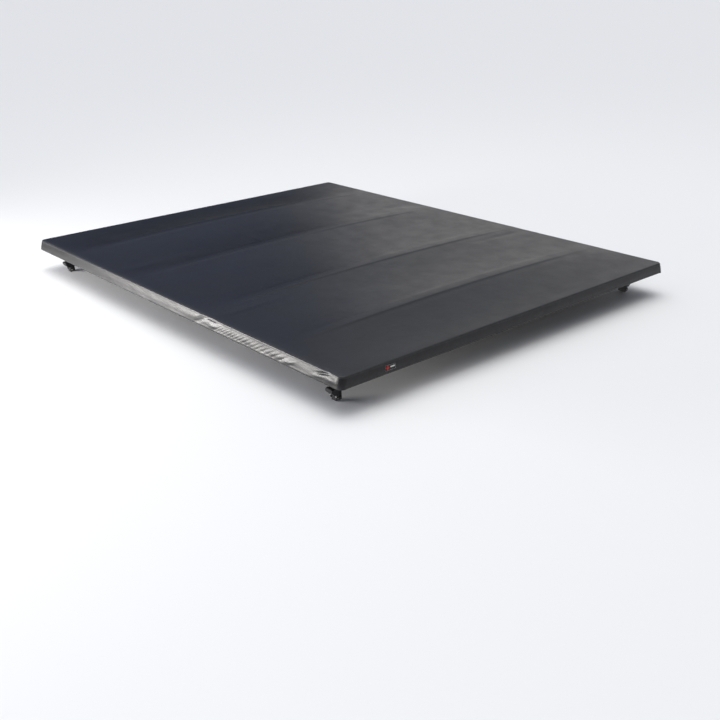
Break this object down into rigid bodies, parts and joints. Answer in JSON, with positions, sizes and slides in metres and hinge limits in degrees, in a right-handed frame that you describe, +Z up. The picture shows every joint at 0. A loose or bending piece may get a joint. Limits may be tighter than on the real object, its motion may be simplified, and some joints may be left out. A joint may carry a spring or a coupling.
{
  "type": "soft tri-fold tonneau cover",
  "caption": "Soft tri-fold pickup bed cover: aluminium-framed panels under one black vinyl skin, folding toward the cab and held by cam clamps with rubber-faced jaws.",
  "frame": {"origin": "middle of the cover's outline, at the height of the bed rails' top on which its seals rest", "axes": "+X to the passenger side across the bed, +Y toward the cab, +Z up"},
  "size_m": [1.64, 2.011, 0.1482],
  "materials": {
    "black_vinyl": "semi-gloss grained vinyl over a woven scrim",
    "mill_aluminium": "mill-finish extrusion",
    "dark_anodised": "black anodised, satin",
    "black_foam_rubber": "matt closed-cell foam rubber",
    "black_plastic": "moulded, fine texture",
    "strap_webbing": "woven webbing",
    "zinc_steel": "zinc plated",
    "tag_label": "woven label"
  },
  "bodies": {
    "front_panel": {"header_rail": "mill_aluminium", "front_left_side_rail": "mill_aluminium", "front_right_side_rail": "mill_aluminium", "front_end_rail": "mill_aluminium", "front_bow": "mill_aluminium", "front_corner_keys": "black_plastic", "header_seal": "black_foam_rubber", "front_side_seals": "black_foam_rubber", "front_panel_vinyl": "black_vinyl", "stow_straps": "strap_webbing", "strap_buckles": "black_plastic", "front_fold_web": "black_vinyl", "front_clamp_pins": "zinc_steel", "front_bracket_screws": "zinc_steel", "front_left_clamp_bracket": "dark_anodised", "front_right_clamp_bracket": "dark_anodised"},
    "middle_panel": {"middle_left_side_rail": "mill_aluminium", "middle_right_side_rail": "mill_aluminium", "middle_front_end_rail": "mill_aluminium", "middle_rear_end_rail": "mill_aluminium", "middle_front_bow": "mill_aluminium", "middle_rear_bow": "mill_aluminium", "middle_corner_keys": "black_plastic", "middle_side_seals": "black_foam_rubber", "middle_panel_vinyl": "black_vinyl", "rear_fold_web": "black_vinyl"},
    "rear_panel": {"tailgate_rail": "mill_aluminium", "rear_left_side_rail": "mill_aluminium", "rear_right_side_rail": "mill_aluminium", "rear_end_rail": "mill_aluminium", "rear_bow": "mill_aluminium", "rear_corner_keys": "black_plastic", "tailgate_seal": "black_foam_rubber", "rear_side_seals": "black_foam_rubber", "rear_panel_vinyl": "black_vinyl", "rear_tag": "tag_label", "rear_clamp_pins": "zinc_steel", "rear_bracket_screws": "zinc_steel", "rear_left_clamp_bracket": "dark_anodised", "rear_right_clamp_bracket": "dark_anodised"},
    "front_left_clamp": {"front_left_clamp_arm": "mill_aluminium", "front_left_lever_pin": "zinc_steel"},
    "front_left_jaw": {"front_left_clamp_jaw": "dark_anodised", "front_left_jaw_pad": "black_foam_rubber"},
    "front_left_lever": {"front_left_cam_lever": "black_plastic"},
    "front_right_clamp": {"front_right_clamp_arm": "mill_aluminium", "front_right_lever_pin": "zinc_steel"},
    "front_right_jaw": {"front_right_clamp_jaw": "dark_anodised", "front_right_jaw_pad": "black_foam_rubber"},
    "front_right_lever": {"front_right_cam_lever": "black_plastic"},
    "rear_left_clamp": {"rear_left_clamp_arm": "mill_aluminium", "rear_left_lever_pin": "zinc_steel"},
    "rear_left_jaw": {"rear_left_clamp_jaw": "dark_anodised", "rear_left_jaw_pad": "black_foam_rubber"},
    "rear_left_lever": {"rear_left_cam_lever": "black_plastic"},
    "rear_right_clamp": {"rear_right_clamp_arm": "mill_aluminium", "rear_right_lever_pin": "zinc_steel"},
    "rear_right_jaw": {"rear_right_clamp_jaw": "dark_anodised", "rear_right_jaw_pad": "black_foam_rubber"},
    "rear_right_lever": {"rear_right_cam_lever": "black_plastic"}
  },
  "joints": [
    {"name": "front_fold", "type": "hinge", "parent": "front_panel", "child": "middle_panel", "pos_m": [0, 0.34633, 0.094], "axis": [-1, 0, 0], "range_deg": [0, 180]},
    {"name": "rear_fold", "type": "hinge", "parent": "middle_panel", "child": "rear_panel", "pos_m": [0, -0.33733, 0.0625], "axis": [-1, 0, 0], "range_deg": [0, 180]},
    {"name": "front_left_clamp_swing", "type": "hinge", "parent": "front_panel", "child": "front_left_clamp", "pos_m": [-0.752, 0.889, 0.022], "axis": [0, -1, 0], "range_deg": [0, 90]},
    {"name": "front_left_cam_turn", "type": "hinge", "parent": "front_left_clamp", "child": "front_left_lever", "pos_m": [-0.752, 0.889, -0.07815], "axis": [0, -1, 0], "range_deg": [-100, 0]},
    {"name": "front_left_jaw_slide", "type": "slide", "parent": "front_left_clamp", "child": "front_left_jaw", "axis": [0, 0, 1], "range_m": [-0.0061, 0]},
    {"name": "front_right_clamp_swing", "type": "hinge", "parent": "front_panel", "child": "front_right_clamp", "pos_m": [0.752, 0.889, 0.022], "axis": [0, 1, 0], "range_deg": [0, 90]},
    {"name": "front_right_cam_turn", "type": "hinge", "parent": "front_right_clamp", "child": "front_right_lever", "pos_m": [0.752, 0.889, -0.07815], "axis": [0, 1, 0], "range_deg": [-100, 0]},
    {"name": "front_right_jaw_slide", "type": "slide", "parent": "front_right_clamp", "child": "front_right_jaw", "axis": [0, 0, 1], "range_m": [-0.0061, 0]},
    {"name": "rear_left_clamp_swing", "type": "hinge", "parent": "rear_panel", "child": "rear_left_clamp", "pos_m": [-0.752, -0.889, 0.022], "axis": [0, -1, 0], "range_deg": [0, 90]},
    {"name": "rear_left_cam_turn", "type": "hinge", "parent": "rear_left_clamp", "child": "rear_left_lever", "pos_m": [-0.752, -0.889, -0.07815], "axis": [0, -1, 0], "range_deg": [-100, 0]},
    {"name": "rear_left_jaw_slide", "type": "slide", "parent": "rear_left_clamp", "child": "rear_left_jaw", "axis": [0, 0, 1], "range_m": [-0.0061, 0]},
    {"name": "rear_right_clamp_swing", "type": "hinge", "parent": "rear_panel", "child": "rear_right_clamp", "pos_m": [0.752, -0.889, 0.022], "axis": [0, 1, 0], "range_deg": [0, 90]},
    {"name": "rear_right_cam_turn", "type": "hinge", "parent": "rear_right_clamp", "child": "rear_right_lever", "pos_m": [0.752, -0.889, -0.07815], "axis": [0, 1, 0], "range_deg": [-100, 0]},
    {"name": "rear_right_jaw_slide", "type": "slide", "parent": "rear_right_clamp", "child": "rear_right_jaw", "axis": [0, 0, 1], "range_m": [-0.0061, 0]}
  ],
  "couplings": [
    {"joint": "front_left_jaw_slide", "follows": "front_left_cam_turn", "m_per_rad": 0.0034377},
    {"joint": "front_right_jaw_slide", "follows": "front_right_cam_turn", "m_per_rad": 0.0034377},
    {"joint": "rear_left_jaw_slide", "follows": "rear_left_cam_turn", "m_per_rad": 0.0034377},
    {"joint": "rear_right_jaw_slide", "follows": "rear_right_cam_turn", "m_per_rad": 0.0034377}
  ]
}
